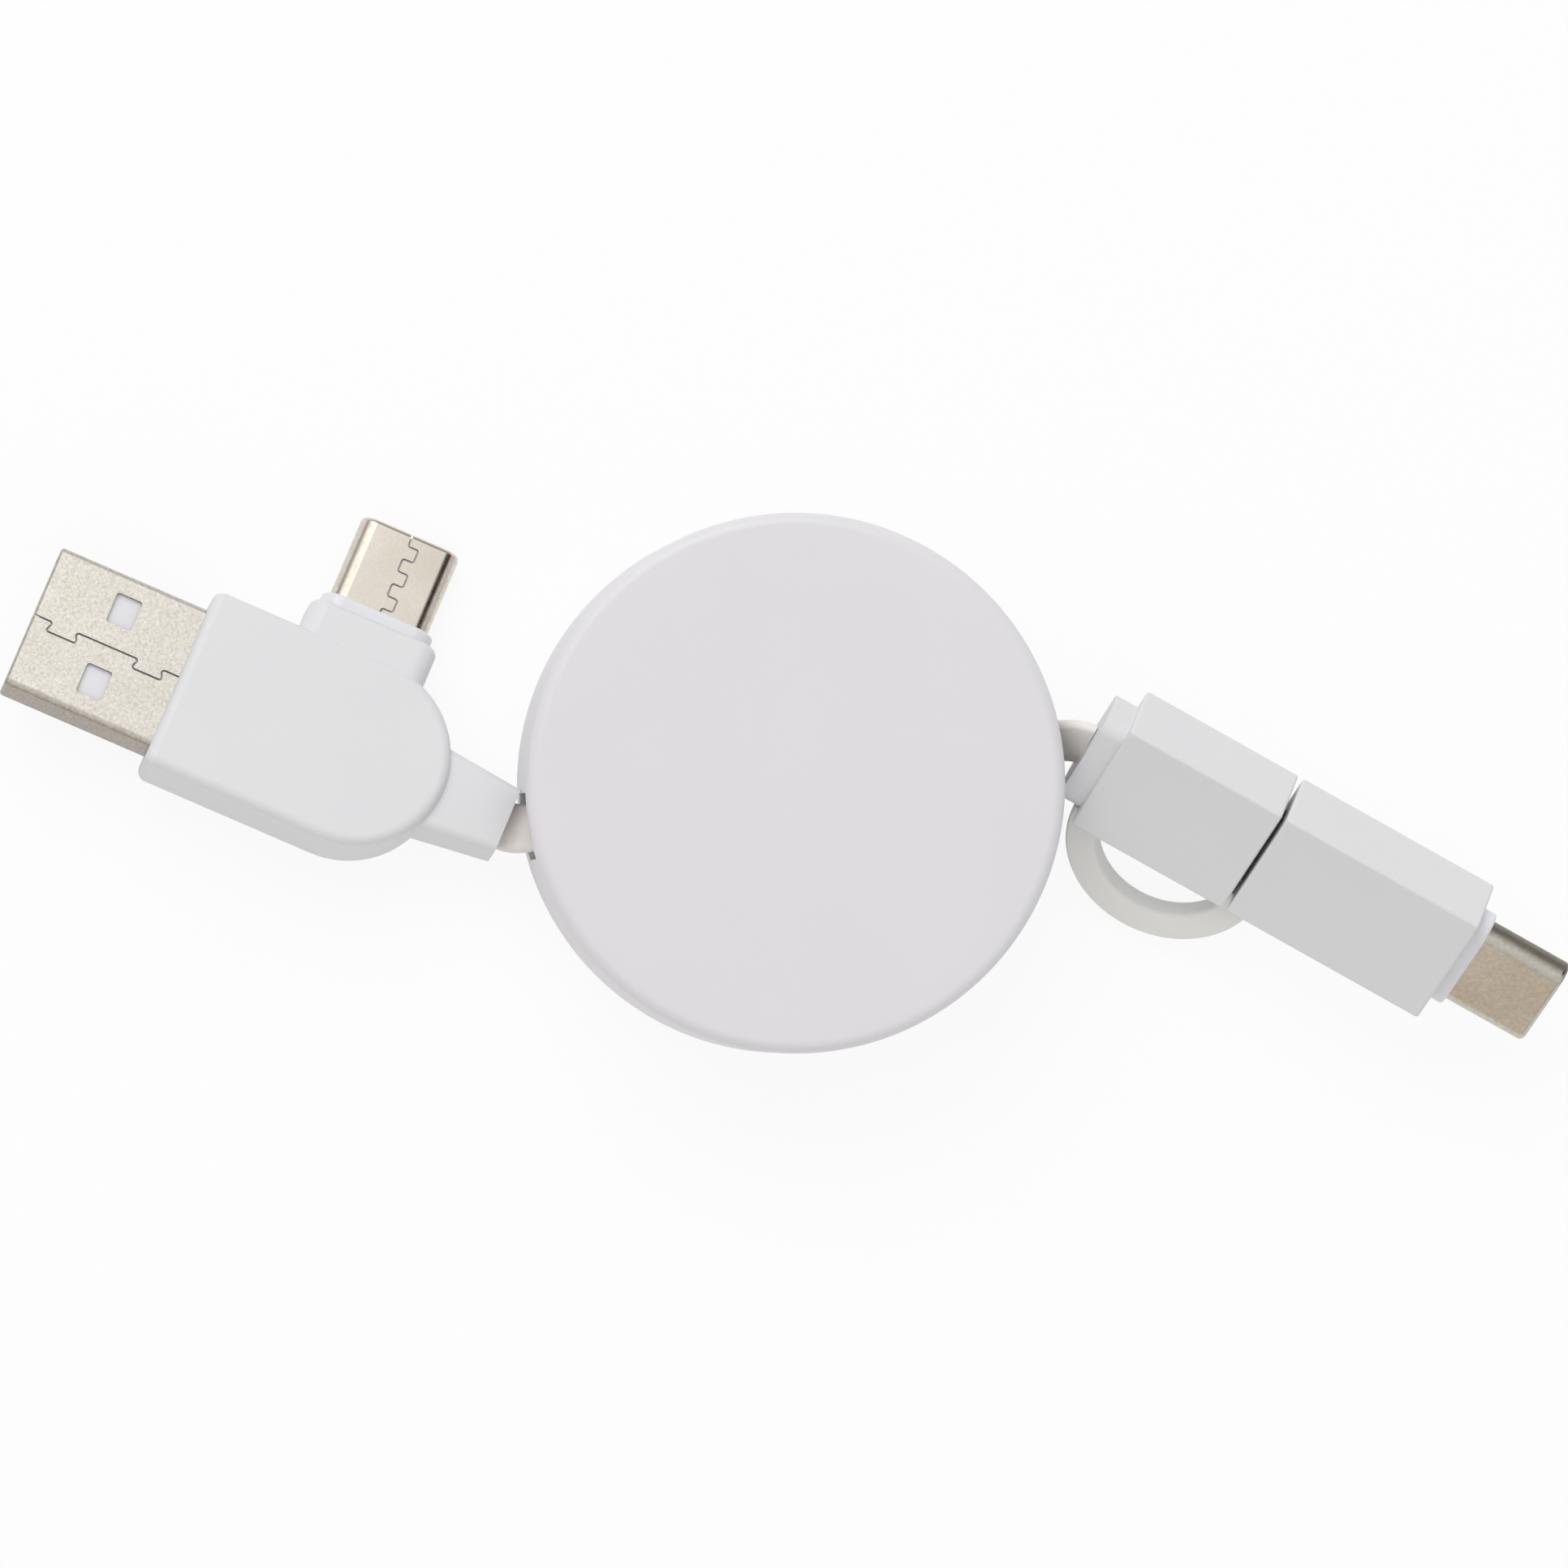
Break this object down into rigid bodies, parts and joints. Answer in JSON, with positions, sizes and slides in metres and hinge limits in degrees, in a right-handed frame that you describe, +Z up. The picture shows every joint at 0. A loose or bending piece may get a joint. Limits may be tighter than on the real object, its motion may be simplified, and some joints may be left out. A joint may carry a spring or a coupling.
{
  "type": "retractable charging cable",
  "caption": "Round spring reel with a flat charging cable that pulls out both ways, ending in a two-headed plug and a plug with a tethered adapter.",
  "frame": {"origin": "centre of the reel's flat base, on the surface that it lies on", "axes": "+Z up out of the reel's flat face along the spool's axis; the two leads leave the reel along -X (two-headed plug) and +X (plug with adapter)"},
  "size_m": [0.1184, 0.0564, 0.0151],
  "materials": {
    "case_plastic": "white moulded plastic, low gloss",
    "plug_plastic": "white moulded plastic, satin",
    "strap_rubber": "white soft moulding, matt",
    "ribbon_sheath": "white flat cable sheath",
    "mould_plastic": "white hard inner moulding",
    "nickel_sheet": "nickel-plated folded sheet, fine matt grain",
    "contact_gold": "gold-flashed contacts",
    "spring_steel": "bright spring steel",
    "spool_plastic": "natural white moulded plastic",
    "board_laminate": "green printed circuit laminate"
  },
  "bodies": {
    "housing": {"bottom_cover": "case_plastic", "top_cover": "case_plastic", "detent_ball": "spring_steel", "spiral_spring": "spring_steel"},
    "spool": {"spool": "spool_plastic", "cable_winding": "ribbon_sheath"},
    "left_plug": {"left_lead": "ribbon_sheath", "left_plug_body": "plug_plastic", "left_inner_mould": "mould_plastic", "left_board": "board_laminate", "usb_a_shell": "nickel_sheet", "usb_a_insulator": "mould_plastic", "usb_a_contacts": "contact_gold", "left_usb_c_shell": "nickel_sheet", "left_usb_c_insulator": "mould_plastic", "left_usb_c_contacts": "contact_gold"},
    "right_plug": {"right_lead": "ribbon_sheath", "right_strain_relief": "plug_plastic", "right_plug_body": "plug_plastic", "micro_b_shell": "nickel_sheet", "micro_b_insulator": "mould_plastic", "micro_b_contacts": "contact_gold", "tether_strap": "strap_rubber"},
    "adapter": {"adapter_body": "plug_plastic", "adapter_socket_shell": "nickel_sheet", "adapter_socket_tongue": "mould_plastic", "adapter_inner_mould": "mould_plastic", "adapter_board": "board_laminate", "adapter_usb_c_shell": "nickel_sheet", "adapter_usb_c_insulator": "mould_plastic", "adapter_usb_c_contacts": "contact_gold"}
  },
  "joints": [
    {"name": "left_pull", "type": "slide", "parent": "housing", "child": "left_plug", "axis": [-0.8434, 0.5373, 0], "range_m": [0, 0.35], "stiffness_N_per_m": 1, "springref_m": -0.6, "deforming": ["left_lead"]},
    {"name": "right_pull", "type": "slide", "parent": "housing", "child": "right_plug", "axis": [0.7848, -0.6198, 0], "range_m": [0, 0.35], "deforming": ["right_lead"]},
    {"name": "spool_spin", "type": "hinge", "parent": "housing", "child": "spool", "pos_m": [0, 0, 0], "axis": [0, 0, 1], "range_deg": [-1445, 0], "deforming": ["spiral_spring"]},
    {"name": "adapter_pull", "type": "slide", "parent": "right_plug", "child": "adapter", "axis": [0.7848, -0.6198, 0], "range_m": [0, 0.01], "deforming": ["tether_strap"]}
  ],
  "couplings": [
    {"joint": "right_pull", "follows": "left_pull", "ratio": 1},
    {"joint": "spool_spin", "follows": "left_pull", "rad_per_m": -71.8}
  ]
}
